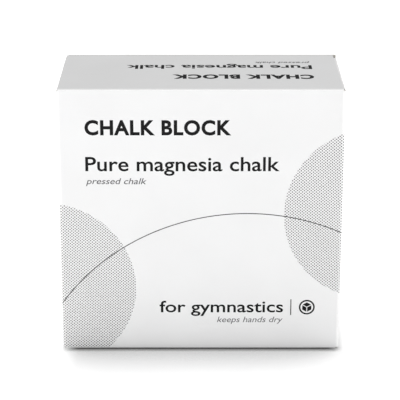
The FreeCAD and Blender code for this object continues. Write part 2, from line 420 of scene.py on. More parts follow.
@dataclass(frozen=True)
class WrappingPaper:
    """Thin bleached wrapping paper, creased by hand folding, dusty with chalk, with painted shade
    along its creases.
    """

    white: Colour = (0.87, 0.87, 0.86)
    shade: Colour = (0.70, 0.70, 0.705)
    dust: Colour = (0.93, 0.93, 0.925)
    crease_width: float = 0.045
    roughness: float = 0.72
    relief: float = 0.018 * MM

    def make(self) -> Material:
        """Builds the wrapper's material.

        Returns:
            The material.
        """
        recipe = Recipe("wrapping_paper")
        where = recipe.place()
        creases = recipe.add("TexVoronoi", {"Vector": where, "Scale": 105.0},
                             feature="DISTANCE_TO_EDGE")
        lines = recipe.ramp(creases.outputs[0], 0.0, self.crease_width, 1.0, 0.0)
        broken = recipe.maths("MULTIPLY", lines, recipe.speckle(where, 85.0, 0.46, 0.6))
        fibre = recipe.speckle(where, 2300.0, 0.3, 0.7, 4.0)
        # The crease lines are painted darker as painted shade; the fibre adds random grey.
        share = recipe.maths("MULTIPLY_ADD", broken, 0.55, recipe.maths("MULTIPLY", fibre, 0.35))
        colour = recipe.blend(share, self.white, self.shade)
        colour = recipe.blend(recipe.speckle(where, 60.0, 0.52, 0.72, 6.0), colour, self.dust)
        height = recipe.maths("MULTIPLY_ADD", broken, 6.0, fibre)
        return recipe.finish(colour, self.roughness, height, self.relief, Sheen_Weight=0.12,
                             Specular_IOR_Level=0.3)


@dataclass(frozen=True)
class Magnesia:
    """Pressed magnesium carbonate: dry, powdery, with soft pits painted darker as shade."""

    white: Colour = (0.90, 0.90, 0.89)
    shade: Colour = (0.80, 0.80, 0.79)
    roughness: float = 0.98
    relief: float = 0.05 * MM

    def make(self) -> Material:
        """Builds the chalk's material.

        Returns:
            The material.
        """
        recipe = Recipe("pressed_magnesia")
        where = recipe.place()
        powder = recipe.speckle(where, 1900.0, 0.3, 0.7, 6.0)
        pits = recipe.speckle(where, 420.0, 0.62, 0.72, 3.0)
        clouds = recipe.speckle(where, 70.0, 0.35, 0.65)
        # The pits are painted darker as painted shade; the clouds add random tone.
        share = recipe.maths("MAXIMUM", recipe.maths("MULTIPLY", clouds, 0.6), pits)
        colour = recipe.blend(share, self.white, self.shade)
        height = recipe.maths("MULTIPLY_ADD", pits, -3.0, powder)
        return recipe.finish(colour, self.roughness, height, self.relief, Sheen_Weight=0.25,
                             Specular_IOR_Level=0.1)


@dataclass(frozen=True)
class Finishes:
    """Every finish of the object, made once and shared."""

    printed: Material
    coated: Material
    liner: Material
    edge: Material
    black: Material
    grey: Material
    paper: Material
    chalk: Material

    @classmethod
    def make(cls) -> "Finishes":
        """Builds all the materials.

        Returns:
            The finishes.
        """
        return cls(
            printed=CoatedBoard("coated_board_printed", Artwork()).make(),
            coated=CoatedBoard("coated_board").make(),
            liner=Liner().make(),
            edge=CutEdge().make(),
            black=PrintedInk("black_ink", Ink.BLACK).make(),
            grey=PrintedInk("grey_ink", Ink.GREY).make(),
            paper=WrappingPaper().make(),
            chalk=Magnesia().make(),
        )


# ---------------------------------------------------------------- folded board


@dataclass(frozen=True)
class Run:
    """A stretch of board: straight, or a crease when it turns.

    length and swell are in metres.  turn is in radians, and positive folds inward;
    swell is how far the middle of the panel stands out.
    """

    length: float
    turn: float = 0.0
    swell: float = 0.0


def crease(turn: float, radius: float) -> Run:
    """A fold of that turn round that outer radius."""
    return Run(abs(turn) * radius, turn)


@dataclass(frozen=True)
class Station:
    """The start of a run: how far along the blank it is, where, and which way it faces."""

    run: Run
    begin: float
    point: Vector
    heading: Vector
    outward: Vector

    def at(self, distance: float) -> tuple[Vector, Vector, Vector]:
        """Goes along the run.

        Args:
            distance: metres from the run's start.

        Returns:
            The point there, the heading and the outward direction.
        """
        if not self.run.turn:
            return self.point + self.heading * distance, self.heading, self.outward
        bend = self.run.turn / self.run.length
        angle = bend * distance
        sine, cosine = math.sin(angle), math.cos(angle)
        point = self.point + (self.heading * sine - self.outward * (1 - cosine)) / bend
        heading = self.heading * cosine - self.outward * sine
        return point, heading, self.outward * cosine + self.heading * sine


class Route:
    """The way the outer face of a board goes over its panels and creases."""

    def __init__(self, point: Vector, heading: Vector, outward: Vector, across: Vector,
                 span: tuple[float, float], runs: Iterable[Run]) -> None:
        """Lays the runs end to end.

        Args:
            point: where the first run starts, with nothing along across.
            heading: the first run's direction.
            outward: the way the first run's outer face looks.
            across: the direction of the creases.
            span: the board's least and greatest place along across.
            runs: the runs in order.
        """
        self.across = across
        self.span = span
        self.stations: list[Station] = []
        begin = 0.0
        for run in runs:
            station = Station(run, begin, point, heading, outward)
            self.stations.append(station)
            point, heading, outward = station.at(run.length)
            begin += run.length
        self.length = begin

    def start_of(self, number: int) -> float:
        """How far along the blank a run starts."""
        return self.stations[number].begin

    def frame_at(self, along: float) -> tuple[Station, Vector, Vector]:
        """Finds the run at a distance along the blank.

        Args:
            along: metres along the blank.

        Returns:
            The run's station, and the point and outward direction there.
        """
        station = next((s for s in reversed(self.stations) if along >= s.begin - TINY),
                       self.stations[0])
        point, _, outward = station.at(along - station.begin)
        return station, point, outward

    def place(self, along: float, across: float, lift: float = 0.0) -> Vector:
        """Folds one point of the flat blank into place.

        Args:
            along: metres along the blank.
            across: metres along the creases.
            lift: metres outward from the outer face.

        Returns:
            The point in the object's frame.
        """
        station, point, outward = self.frame_at(along)
        run = station.run
        if run.swell:
            low, high = self.span
            share = (along - station.begin) / run.length
            rise = (across - low) / (high - low)
            if 0 < share < 1 and 0 < rise < 1:
                crown = math.sin(math.pi * share) * math.sin(math.pi * rise)
                wave = noise.noise(Vector((along, across, 0.3)) * WAVES)
                lift += run.swell * crown * (1 + WAVE_SHARE * wave)
        return point + self.across * across + outward * lift

    def rub_and_highlight_at(self, along: float) -> float:
        """How much the board is rubbed and painted with a highlight, by the distance from the
        nearest crease.

        Args:
            along: metres along the blank.

        Returns:
            The rubbing and painted highlight, from 0 to 1 in a crease.
        """
        gaps = [max(s.begin - along, along - s.begin - s.run.length, 0.0)
                for s in self.stations if s.run.turn]
        return max(0.0, 1 - min(gaps) / CREASE_RUB_AND_HIGHLIGHT) if gaps else 0.0

    def slices(self) -> list[float]:
        """Where the blank is scored along its length, so that it folds and bows smoothly.

        Returns:
            The places in order, in metres along the blank.
        """
        cuts: set[float] = set()
        for station in self.stations:
            run = station.run
            steps = CREASE_STEPS if run.turn else max(1, round(run.length / CELL))
            cuts.update(station.begin + run.length * step / steps for step in range(steps + 1))
            if run.turn:
                cuts.update((station.begin - CREASE_RUB_AND_HIGHLIGHT, station.begin + run.length + CREASE_RUB_AND_HIGHLIGHT))
        ordered = sorted(cut for cut in cuts if 0 < cut < self.length)
        return [cut for cut, before in zip(ordered, [-1.0] + ordered)
                if cut - before > LEAST_STRIP]


@dataclass(frozen=True)
class Corner:
    """A corner of a flat blank: along and across it, and its rounding, in metres."""

    along: float
    across: float
    rounding: float = 0.0


class Blank:
    """A flat piece of board that is cut, scored, folded along a route and thickened."""

    def __init__(self, route: Route, corners: Iterable[Corner]) -> None:
        """Cuts the outline and rounds its corners.

        Args:
            route: the folds it will follow.
            corners: the outline in order.
        """
        self.route = route
        self.mesh = bmesh.new()
        knife = list(corners)
        points = [self.mesh.verts.new((c.along, c.across, 0.0)) for c in knife]
        self.mesh.faces.new(points)
        for radius in sorted({c.rounding for c in knife if c.rounding}):
            chosen = [point for point, c in zip(points, knife) if c.rounding == radius]
            bmesh.ops.bevel(self.mesh, geom=chosen, offset=radius, offset_type="OFFSET",
                            segments=CORNER_STEPS, profile=0.5, affect="VERTICES",
                            material=-1)

    def score(self, axis: int, places: Iterable[float]) -> None:
        """Cuts the faces along straight lines.

        Args:
            axis: 0 for lines across the blank, 1 for lines along it.
            places: where the lines are.
        """
        normal = Vector((1.0, 0.0, 0.0)) if axis == 0 else Vector((0.0, 1.0, 0.0))
        for place in places:
            everything = self.mesh.verts[:] + self.mesh.edges[:] + self.mesh.faces[:]
            bmesh.ops.bisect_plane(self.mesh, geom=everything, dist=TINY,
                                   plane_co=normal * place, plane_no=normal)

    def slash(self, start: Vector, end: Vector, beyond: float) -> None:
        """Cuts the faces past a place on the blank along a sloping line.

        Args:
            start: a point of the line.
            end: another point of the line.
            beyond: how far along the blank the cut starts to count.
        """
        faces = [face for face in self.mesh.faces
                 if face.calc_center_median().x > beyond]
        edges = list({edge for face in faces for edge in face.edges})
        verts = list({vert for face in faces for vert in face.verts})
        way = end - start
        bmesh.ops.bisect_plane(self.mesh, geom=verts + edges + faces, dist=TINY,
                               plane_co=start, plane_no=Vector((-way.y, way.x, 0.0)))

    def cut_away(self, waste: Callable[[float, float], bool]) -> None:
        """Removes the faces whose middle is waste.

        Args:
            waste: tells waste from board by the two flat coordinates.
        """
        gone = [face for face in self.mesh.faces
                if waste(*face.calc_center_median().to_2d())]
        bmesh.ops.delete(self.mesh, geom=gone, context="FACES")

    def fold(self, name: str, thickness: float, faces: tuple[Material, ...],
             origin: tuple[float, float] = (0.0, 0.0)) -> Piece:
        """Folds the blank and gives it its thickness.

        Args:
            name: the piece's name.
            thickness: the board's thickness in metres.
            faces: the outer face's, inner face's and cut edge's materials.
            origin: the artwork's zero point on the blank, in metres.

        Returns:
            The folded piece.
        """
        low, high = self.route.span
        self.score(0, self.route.slices())
        rows = max(1, round((high - low) / CELL))
        self.score(1, [low + (high - low) * row / rows for row in range(1, rows)])
        flat = self.mesh.verts.layers.float_vector.new("flat")
        # This crease mask carries the rubbing and a painted highlight.
        rub_and_highlight = self.mesh.verts.layers.float.new("rub_and_highlight")
        first = min(self.mesh.faces, key=lambda face: face.calc_center_median().x)
        middle = first.calc_center_median()
        for vert in self.mesh.verts:
            along, across, _ = vert.co
            vert[flat] = Vector((along - origin[0], across - origin[1], 0.0)) / MM
            vert[rub_and_highlight] = self.route.rub_and_highlight_at(along)
            vert.co = self.route.place(along, across)
        self.mesh.normal_update()
        if first.normal.dot(self.route.frame_at(middle.x)[2]) < 0:
            bmesh.ops.reverse_faces(self.mesh, faces=self.mesh.faces[:])
        piece = as_piece(name, self.mesh, faces)
        wall = piece.modifiers.new("board", "SOLIDIFY")
        wall.thickness, wall.offset, wall.use_even_offset = thickness, -1.0, True
        wall.material_offset, wall.material_offset_rim = 1, 2
        return settle(piece)


def as_piece(name: str, mesh: bmesh.types.BMesh,
             finishes: Iterable[Material]) -> Piece:
    """Turns a bmesh into an object at the origin.

    Args:
        name: the piece's name.
        mesh: its shape, freed afterwards.
        finishes: its materials in slot order.

    Returns:
        The new object.
    """
    data = bpy.data.meshes.new(name)
    mesh.to_mesh(data)
    mesh.free()
    for finish in finishes:
        data.materials.append(finish)
    piece = bpy.data.objects.new(name, data)
    bpy.context.scene.collection.objects.link(piece)
    return piece


def settle(piece: Piece, crisp: float = 32.0) -> Piece:
    """Applies a piece's modifiers and shades it smooth up to a sharp angle.

    Args:
        piece: the piece, with live modifiers.
        crisp: the angle in degrees above which an edge stays sharp.

    Returns:
        The same piece with its final mesh.
    """
    depsgraph = bpy.context.evaluated_depsgraph_get()
    data = bpy.data.meshes.new_from_object(piece.evaluated_get(depsgraph),
                                           preserve_all_data_layers=True,
                                           depsgraph=depsgraph)
    old = piece.data
    piece.modifiers.clear()
    piece.data = data
    bpy.data.meshes.remove(old)
    data.name = piece.name
    data.shade_smooth()
    data.set_sharp_from_angle(angle=math.radians(crisp))
    return piece


def report(piece: Piece) -> None:
    """Logs a finished piece and its size."""
    spans = [(max(places) - min(places)) / MM for places in zip(*piece.bound_box)]
    LOG.info("%s: %d faces, %.1f x %.1f x %.1f mm", piece.name, len(piece.data.polygons), *spans)


# ---------------------------------------------------------------- the carton


@dataclass(frozen=True)
class CartonSizes:
    """The carton's main sizes in metres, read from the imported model."""

    width: float
    depth: float
    height: float
    board: float
    fold: float
    side_top: float
    lid_back: float

    @classmethod
    def from_frame(cls) -> "CartonSizes":
        """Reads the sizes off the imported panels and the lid's joint.

        Returns:
            The sizes.
        """
        low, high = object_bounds()
        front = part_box("front_panel")
        hinge = Vector(next(j for j in frame["joints"] if j["name"] == "lid_hinge")["pos_m"])
        ease = hinge.y - front[0].y
        return cls(
            width=high.x - low.x,
            depth=high.y - low.y,
            height=high.z,
            board=front[1].y - front[0].y,
            fold=ease / (1 - math.cos(QUARTER / 2)),
            side_top=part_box("dust_flap_left")[1].z,
            lid_back=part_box("lid_panel")[1].y,
        )


class Wall(IntEnum):
    """The sleeve's walls and seam flap, by their place in the route's runs."""

    LEFT = 0
    FRONT = 2
    RIGHT = 4
    BACK = 6
    SEAM = 8


@dataclass
class Sleeve:
    """The four walls and the glued seam flap: one strip of board folded round."""

    sizes: CartonSizes
    finishes: Finishes
    front_swell: float = 0.22 * MM
    side_swell: float = 0.30 * MM
    seam_gap: float = 0.03 * MM
    glue_slope: float = 6.0 * MM
    glue_box: tuple[Vector, Vector] = field(init=False)
    route: Route = field(init=False)

    def __post_init__(self) -> None:
        """Lays out the walls from the left panel's free edge round to the seam flap."""
        s = self.sizes
        front, back = -s.depth / 2, s.depth / 2
        free_edge = back - s.board - self.seam_gap
        inner = -s.width / 2 + s.board + self.seam_gap
        self.glue_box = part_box("glue_flap")
        fold = crease(QUARTER, s.fold)
        self.route = Route(
            Vector((-s.width / 2, free_edge, 0.0)), Vector((0, -1, 0)), Vector((-1, 0, 0)),
            Vector((0, 0, 1)), (0.0, s.height),
            [
                Run(free_edge - front - s.fold, swell=self.side_swell),
                fold,
                Run(s.width - 2 * s.fold, swell=self.front_swell),
                fold,
                Run(s.depth - 2 * s.fold, swell=self.side_swell),
                fold,
                Run(s.width / 2 - inner - 2 * s.fold, swell=self.front_swell),
                fold,
                Run(back - s.fold - self.glue_box[0].y),
            ],
        )

    def levels(self, along: float) -> tuple[float, float]:
        """Where the board starts and ends in height at a place along the strip.

        Args:
            along: metres along the strip.

        Returns:
            The foot's and the top's height.
        """
        s, start = self.sizes, self.route.start_of
        if along < start(Wall.LEFT + 1) or start(Wall.RIGHT) < along < start(Wall.RIGHT + 1):
            return s.board + s.fold, s.side_top - s.fold
        if along < start(Wall.RIGHT):
            return s.fold, s.height - s.fold
        if along < start(Wall.BACK + 1):
            return 2 * s.board + s.fold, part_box("back_panel")[1].z
        seam = start(Wall.SEAM)
        slope = self.glue_slope * max(0.0, along - seam) / (self.route.length - seam)
        return self.glue_box[0].z + slope, self.glue_box[1].z - slope

    def build(self) -> Piece:
        """Cuts, folds and dresses the walls.

        Returns:
            The sleeve.
        """
        route = self.route
        levels = [self.levels(station.begin + TINY) for station in route.stations]
        low = min(foot for foot, _ in levels)
        high = max(top for _, top in levels)
        blank = Blank(route, [Corner(0, low), Corner(route.length, low),
                              Corner(route.length, high), Corner(0, high)])
        blank.score(0, [station.begin for station in route.stations[1:]])
        blank.score(1, sorted({level for pair in levels for level in pair} - {low, high}))
        seam, end = route.start_of(Wall.SEAM), route.length
        foot, top = levels[Wall.SEAM]
        for height, rise in ((foot, self.glue_slope), (top, -self.glue_slope)):
            blank.slash(Vector((seam, height, 0.0)), Vector((end, height + rise, 0.0)), seam)
        blank.cut_away(lambda along, up: not self.levels(along)[0] < up < self.levels(along)[1])
        zero = route.start_of(Wall.FRONT) - self.sizes.fold
        dress = self.finishes
        sleeve = blank.fold("carton_sleeve", self.sizes.board,
                            (dress.printed, dress.liner, dress.edge), (zero, 0.0))
        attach(sleeve, "carton")
        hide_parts("front_panel", "left_panel", "right_panel", "back_panel",
                    "glue_flap")
        return sleeve

    def spot_on_front(self, right: float, up: float) -> tuple[float, float]:
        """The blank's place of a point on the front, from its lower left corner, in mm."""
        return self.route.start_of(Wall.FRONT) - self.sizes.fold + right * MM, up * MM


@dataclass
class Lid:
    """The lid, hinged on the front panel's top crease, and its tuck flap."""

    sizes: CartonSizes
    finishes: Finishes
    swell: float = 0.14 * MM
    left_shift: float = 0.2 * MM
    skew: float = 0.6 * MM
    back_corner: float = 0.3 * MM
    lean: float = math.radians(6.3)
    tuck_corner: float = 7.0 * MM
    route: Route = field(init=False)
    tuck_route: Route = field(init=False)

    def __post_init__(self) -> None:
        """Lays out the lid from its hinge crease to the tuck flap's crease."""
        s = self.sizes
        lid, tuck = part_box("lid_panel"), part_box("lid_tuck_flap")
        across = Vector((1, 0, 0))
        self.route = Route(
            Vector((0, -s.depth / 2, s.height - s.fold)), Vector((0, 0, 1)),
            Vector((0, -1, 0)), across, (lid[0].x, lid[1].x),
            [crease(QUARTER, s.fold),
             Run(s.lid_back + s.depth / 2 - 2 * s.fold, swell=self.swell)],
        )
        turn = QUARTER + self.lean
        bend_end = s.height - s.fold * (1 - math.cos(turn))
        self.tuck_route = Route(
            Vector((0, s.lid_back - s.fold, s.height)), Vector((0, 1, 0)),
            Vector((0, 0, 1)), across, (tuck[0].x, tuck[1].x),
            [crease(turn, s.fold), Run((bend_end - tuck[0].z) / math.cos(self.lean))],
        )

    def build(self) -> list[Piece]:
        """Cuts and folds the lid and its tuck flap.

        Returns:
            The lid and the tuck flap.
        """
        s, dress = self.sizes, self.finishes
        faces = (dress.coated, dress.liner, dress.edge)
        low, high = self.route.span
        reach = self.route.length
        lid = Blank(self.route, [
            Corner(0, low - self.left_shift), Corner(reach, low - self.left_shift),
            Corner(reach, high - self.skew, self.back_corner), Corner(0, high),
        ]).fold("lid_board", s.board, faces)
        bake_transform(lid)
        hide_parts("lid_panel")
        low, high = self.tuck_route.span
        reach, corner = self.tuck_route.length, self.tuck_corner
        tuck = Blank(self.tuck_route, [
            Corner(0, low), Corner(reach, low, corner),
            Corner(reach, high - self.skew, corner), Corner(0, high - self.skew),
        ]).fold("tuck_board", s.board, faces)
        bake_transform(tuck)
        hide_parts("lid_tuck_flap")
        return [lid, tuck]

    def spot_on_lid(self, right: float, up: float) -> tuple[float, float]:
        """The blank's place of a point on the lid, as read from behind, in mm.

        Args:
            right: mm to the reader's right of the panel's left edge.
            up: mm up from the back edge, toward the hinge.

        Returns:
            The place along and across the lid's blank.
        """
        s = self.sizes
        away_from_hinge = s.lid_back + s.depth / 2 - up * MM
        along = self.route.start_of(1) + away_from_hinge - s.fold
        return along, s.width / 2 - right * MM


@dataclass
class DustFlap:
    """A dust flap, folded in from a side panel to lie under the lid."""

    sizes: CartonSizes
    finishes: Finishes
    side: Side
    front_gap: float = 2.2 * MM
    back_gap: float = 3.6 * MM
    slope: float = 0.63
    corner: float = 6.0 * MM
    nose: float = 2.5 * MM

    def build(self) -> Piece:
        """Cuts and folds the flap.

        Returns:
            The flap.
        """
        s, sign, word = self.sizes, self.side.value, self.side.name.lower()
        node = f"dust_flap_{word}"
        low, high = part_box(node)
        reach = high.x - low.x
        front = -s.depth / 2 + self.front_gap
        back = s.depth / 2 - s.board - self.back_gap
        route = Route(
            Vector((sign * s.width / 2, 0, s.side_top - s.fold)), Vector((0, 0, 1)),
            Vector((sign, 0, 0)), Vector((0, 1, 0)), (front, back),
            [crease(QUARTER, s.fold), Run(reach - s.fold)],
        )
        flap = Blank(route, [
            Corner(0, front), Corner(route.length, front + self.slope * reach, self.nose),
            Corner(route.length, back, self.corner), Corner(0, back),
        ]).fold(f"dust_board_{word}", s.board,
                (self.finishes.coated, self.finishes.liner, self.finishes.edge))
        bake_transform(flap)
        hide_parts(node)
        return flap


@dataclass
class SnapLockBottom:
    """The four bottom flaps: the front one's tongue climbs through the back one's slot."""

    sizes: CartonSizes
    finishes: Finishes
    side_taper: float = 12.0 * MM
    back_taper: float = 10.0 * MM
    front_reach: float = 26.0 * MM
    tongue: float = 40.0 * MM
    tongue_corner: float = 3.0 * MM
    tongue_bend: float = 2.0 * MM
    tongue_turn: float = math.radians(17.0)
    tongue_tip: float = 7.0 * MM
    ramp: float = 5.0 * MM
    slot_play: float = 1.5 * MM
    slack: float = 0.05 * MM

    def wall_route(self, wall: Vector, across: Vector, level: float, half: float,
                   runs: list[Run]) -> Route:
        """A flap's route: down its wall, round the bottom crease, and in.

        Args:
            wall: the middle of the wall's outer face, with no height.
            across: the crease's direction.
            level: the height of the flap's lower face.
            half: half the flap's width.
            runs: what follows the crease.

        Returns:
            The route.
        """
        fold = self.sizes.fold
        start = wall + Vector((0, 0, level + fold))
        return Route(start, Vector((0, 0, -1)), wall.normalized(), across, (-half, half),
                     [crease(QUARTER, fold)] + runs)

    def side_flap(self, side: Side) -> tuple[Blank, str]:
        """Cuts the small flap from a side panel, second from below.

        Args:
            side: the panel's side.

        Returns:
            The flat flap and its CAD node.
        """
        s = self.sizes
        node = f"bottom_flap_{side.name.lower()}"
        low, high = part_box(node)
        half, reach = high.y, high.x - low.x
        route = self.wall_route(Vector((side.value * s.width / 2, 0, 0)), Vector((0, 1, 0)),
                                s.board, half, [Run(reach + s.board - s.fold)])
        end = route.length
        shoulder = end - 2 * reach / 3
        return Blank(route, [
            Corner(0, -half), Corner(shoulder, -half),
            Corner(end, self.side_taper - half, self.tongue_corner),
            Corner(end, half - self.side_taper, self.tongue_corner),
            Corner(shoulder, half), Corner(0, half),
        ]), node

    def back_flap(self) -> tuple[Blank, str]:
        """Cuts the slotted flap from the back panel, uppermost of the four.

        Returns:
            The flat flap and its CAD node.
        """
        s = self.sizes
        low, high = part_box("bottom_flap_back")
        half = high.x
        route = self.wall_route(Vector((0, s.depth / 2, 0)), Vector((1, 0, 0)), 2 * s.board,
                                half, [Run(s.depth / 2 - low.y - s.fold)])
        end, taper = route.length, self.back_taper
        blank = Blank(route, [
            Corner(0, -half), Corner(end - taper, -half), Corner(end, taper - half),
            Corner(end, half - taper), Corner(end - taper, half), Corner(0, half),
        ])
        ramp = -s.depth / 2 + s.board + self.front_reach
        far = end - (ramp - self.slack - low.y)
        near = end - (ramp + self.ramp + self.slack - low.y)
        wide = self.tongue / 2 + self.slot_play
        blank.score(0, (near, far))
        blank.score(1, (-wide, wide))
        blank.cut_away(lambda along, over: near < along < far and abs(over) < wide)
        return blank, "bottom_flap_back"

    def front_flap(self) -> tuple[Blank, str]:
        """Cuts the outermost flap, with the tongue that locks the bottom.

        Returns:
            The flat flap and its CAD node.
        """
        s, turn = self.sizes, self.tongue_turn
        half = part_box("bottom_flap_front")[1].x
        climb = 3 * s.board + self.slack - 2 * self.tongue_bend * (1 - math.cos(turn))
        bend = crease(turn, self.tongue_bend)
        route = self.wall_route(
            Vector((0, -s.depth / 2, 0)), Vector((1, 0, 0)), 0.0, half,
            [Run(s.board + self.front_reach - s.fold), bend, Run(climb / math.sin(turn)),
             crease(-turn, self.tongue_bend), Run(self.tongue_tip)])
        edge, end, arm = route.start_of(2), route.length, self.tongue / 2
        shoulder = edge - self.front_reach / 3
        return Blank(route, [
            Corner(0, -half), Corner(shoulder, -half), Corner(edge, -arm),
            Corner(end, -arm, self.tongue_corner), Corner(end, arm, self.tongue_corner),
            Corner(edge, arm), Corner(shoulder, half), Corner(0, half),
        ]), "bottom_flap_front"

    def build(self) -> list[Piece]:
        """Cuts, folds and dresses the four flaps.

        Returns:
            The flaps.
        """
        dress, flaps = self.finishes, []
        for blank, node in (self.front_flap(), self.side_flap(Side.LEFT),
                            self.side_flap(Side.RIGHT), self.back_flap()):
            flap = blank.fold(node.replace("flap", "board"), self.sizes.board,
                              (dress.coated, dress.liner, dress.edge))
            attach(flap, "carton")
            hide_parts(node)
            flaps.append(flap)
        return flaps


# ---------------------------------------------------------------- the print


@dataclass(frozen=True)
class PrintedLine:
    """One line of generic wording; sizes in millimetres from the panel's lower left.

    weight thickens the strokes, as a share of the letters' size.  slant leans them.
    """

    name: str
    words: str
    left: float
    base: float
    width: float
    cap: float
    ink: Ink = Ink.BLACK
    weight: float = 0.0
    slant: float = 0.0
    spacing: float = 1.0
    gauge: str = "H"

    def letters(self) -> bmesh.types.BMesh:
        """Sets the line in the built-in face, at its size, on the flat.

        Returns:
            The letters as thin closed shapes, in millimetres, 1 unit thick.
        """
        words = self.set_type(self.words)
        gauge = self.set_type(self.gauge)
        tall = max(vert.co.y for vert in gauge.verts)
        gauge.free()
        left = min(vert.co.x for vert in words.verts)
        right = max(vert.co.x for vert in words.verts)
        scale = Vector((self.width / (right - left), self.cap / tall, 1.0))
        bmesh.ops.translate(words, verts=words.verts, vec=(-left, 0.0, 0.0))
        bmesh.ops.scale(words, verts=words.verts, vec=scale)
        bmesh.ops.translate(words, verts=words.verts, vec=(self.left, self.base, 0.0))
        return words

    def set_type(self, words: str) -> bmesh.types.BMesh:
        """Type at the face's own size, as a mesh 1 unit thick.

        Args:
            words: the letters to set.

        Returns:
            The mesh, standing on its base line.
        """
        text = bpy.data.curves.new("type", "FONT")
        text.body, text.shear, text.offset = words, self.slant, self.weight
        text.space_character, text.extrude, text.resolution_u = self.spacing, 0.5, 4
        holder = bpy.data.objects.new("type", text)
        bpy.context.scene.collection.objects.link(holder)
        bpy.context.view_layer.update()
        depsgraph = bpy.context.evaluated_depsgraph_get()
        data = bpy.data.meshes.new_from_object(holder.evaluated_get(depsgraph))
        mesh = bmesh.new()
        mesh.from_mesh(data)
        bpy.data.objects.remove(holder)
        bpy.data.curves.remove(text)
        bpy.data.meshes.remove(data)
        bmesh.ops.remove_doubles(mesh, verts=mesh.verts, dist=WELD)
        return mesh


FRONT_LINES = (
    PrintedLine("headline", "CHALK BLOCK", 10.5, 89.6, 56.1, 5.75, weight=0.036,
                spacing=1.1),
    PrintedLine("contents_line", "Pure magnesia chalk", 10.5, 74.95, 74.8, 5.65,
                weight=0.012),
    PrintedLine("grade_line", "pressed chalk", 10.6, 69.6, 23.4, 2.4, Ink.GREY,
                weight=0.004, slant=0.25),
    PrintedLine("use_line", "for gymnastics", 38.6, 15.8, 49.0, 4.9, weight=0.012,
                gauge="f"),
    PrintedLine("care_line", "keeps hands dry", 61.4, 11.45, 26.1, 2.35, Ink.GREY,
                slant=0.25, gauge="k"),
)
LID_LINES = (
    PrintedLine("headline", "CHALK BLOCK", 11.0, 31.15, 55.1, 5.7, weight=0.05,
                spacing=1.12),
    PrintedLine("contents_line", "Pure magnesia chalk", 11.0, 16.75, 73.5, 5.6,
                weight=0.022),
    PrintedLine("grade_line", "pressed chalk", 11.4, 11.45, 22.1, 2.35, Ink.GREY,
                weight=0.012, slant=0.25),
)


@dataclass
class Printer:
    """Lays ink on a folded panel as thin closed shapes that follow its bow.

    The sign's ring, block and gaps are shares of its radius.
    """

    route: Route
    spot: Callable[[float, float], tuple[float, float]]
    body: str
    finishes: Finishes
    proud: float = 0.016 * MM
    sunk: float = 0.010 * MM
    ring_inside: float = 0.80
    block_arm: float = 0.60
    block_gap: float = 0.10

    def lay(self, name: str, mesh: bmesh.types.BMesh, ink: Ink) -> Piece:
        """Puts flat shapes on the panel.

        Args:
            name: the piece's name.
            mesh: the shapes in millimetres, from -0.5 to 0.5 thick.
            ink: their ink.

        Returns:
            The printed piece.
        """
        for vert in mesh.verts:
            lift = self.proud if vert.co.z > 0 else -self.sunk
            vert.co = self.route.place(*self.spot(vert.co.x, vert.co.y), lift)
        bmesh.ops.recalc_face_normals(mesh, faces=mesh.faces[:])
        dress = self.finishes.black if ink is Ink.BLACK else self.finishes.grey
        piece = as_piece(name, mesh, [dress])
        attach(piece, self.body)
        return piece

    def line(self, where: str, line: PrintedLine) -> Piece:
        """Prints one line of wording."""
        return self.lay(f"{where}_{line.name}", line.letters(), line.ink)

    def divider(self, where: str, across: float, low: float, high: float,
                width: float = 0.38) -> Piece:
        """Prints a thin upright rule.

        Args:
            where: the panel's word in the piece's name.
            across: the rule's place from the left, in mm.
            low: its lower end.
            high: its upper end.
            width: its width.

        Returns:
            The rule.
        """
        mesh = bmesh.new()
        bmesh.ops.create_cube(mesh, size=1.0)
        bmesh.ops.scale(mesh, verts=mesh.verts, vec=(width, high - low, 1.0))
        bmesh.ops.translate(mesh, verts=mesh.verts, vec=(across, (low + high) / 2, 0.0))
        return self.lay(f"{where}_divider", mesh, Ink.BLACK)

    def block_sign(self, where: str, across: float, up: float,
                   radius: float) -> Piece:
        """Prints a plain sign: a ring with a block seen corner on.

        Args:
            where: the panel's word in the piece's name.
            across: the sign's centre from the left, in mm.
            up: its centre's height.
            radius: the ring's outer radius.

        Returns:
            The sign.
        """
        mesh = bmesh.new()
        rings = [bmesh.ops.create_circle(mesh, segments=48, radius=radius * share)["verts"]
                 for share in (1.0, self.ring_inside)]
        edges = list({edge for ring in rings for vert in ring for edge in vert.link_edges})
        bmesh.ops.bridge_loops(mesh, edges=edges)
        for turn in range(3):
            start = math.radians(30 + 120 * turn)
            angles = [start + math.radians(way) for way in (0, 60, 120)]
            arms = [Vector((math.cos(angle), math.sin(angle), 0.0)) * radius * self.block_arm
                    for angle in angles]
            offset = arms[1] * self.block_gap
            corners = [Vector((0, 0, 0)), *arms]
            mesh.faces.new([mesh.verts.new(corner + offset) for corner in corners])
        solid = bmesh.ops.extrude_face_region(mesh, geom=mesh.faces[:])["geom"]
        raised = [part for part in solid if isinstance(part, bmesh.types.BMVert)]
        bmesh.ops.translate(mesh, verts=raised, vec=(0, 0, 1.0))
        bmesh.ops.translate(mesh, verts=mesh.verts, vec=(across, up, -0.5))
        return self.lay(f"{where}_block_sign", mesh, Ink.BLACK)


# ---------------------------------------------------------------- the contents


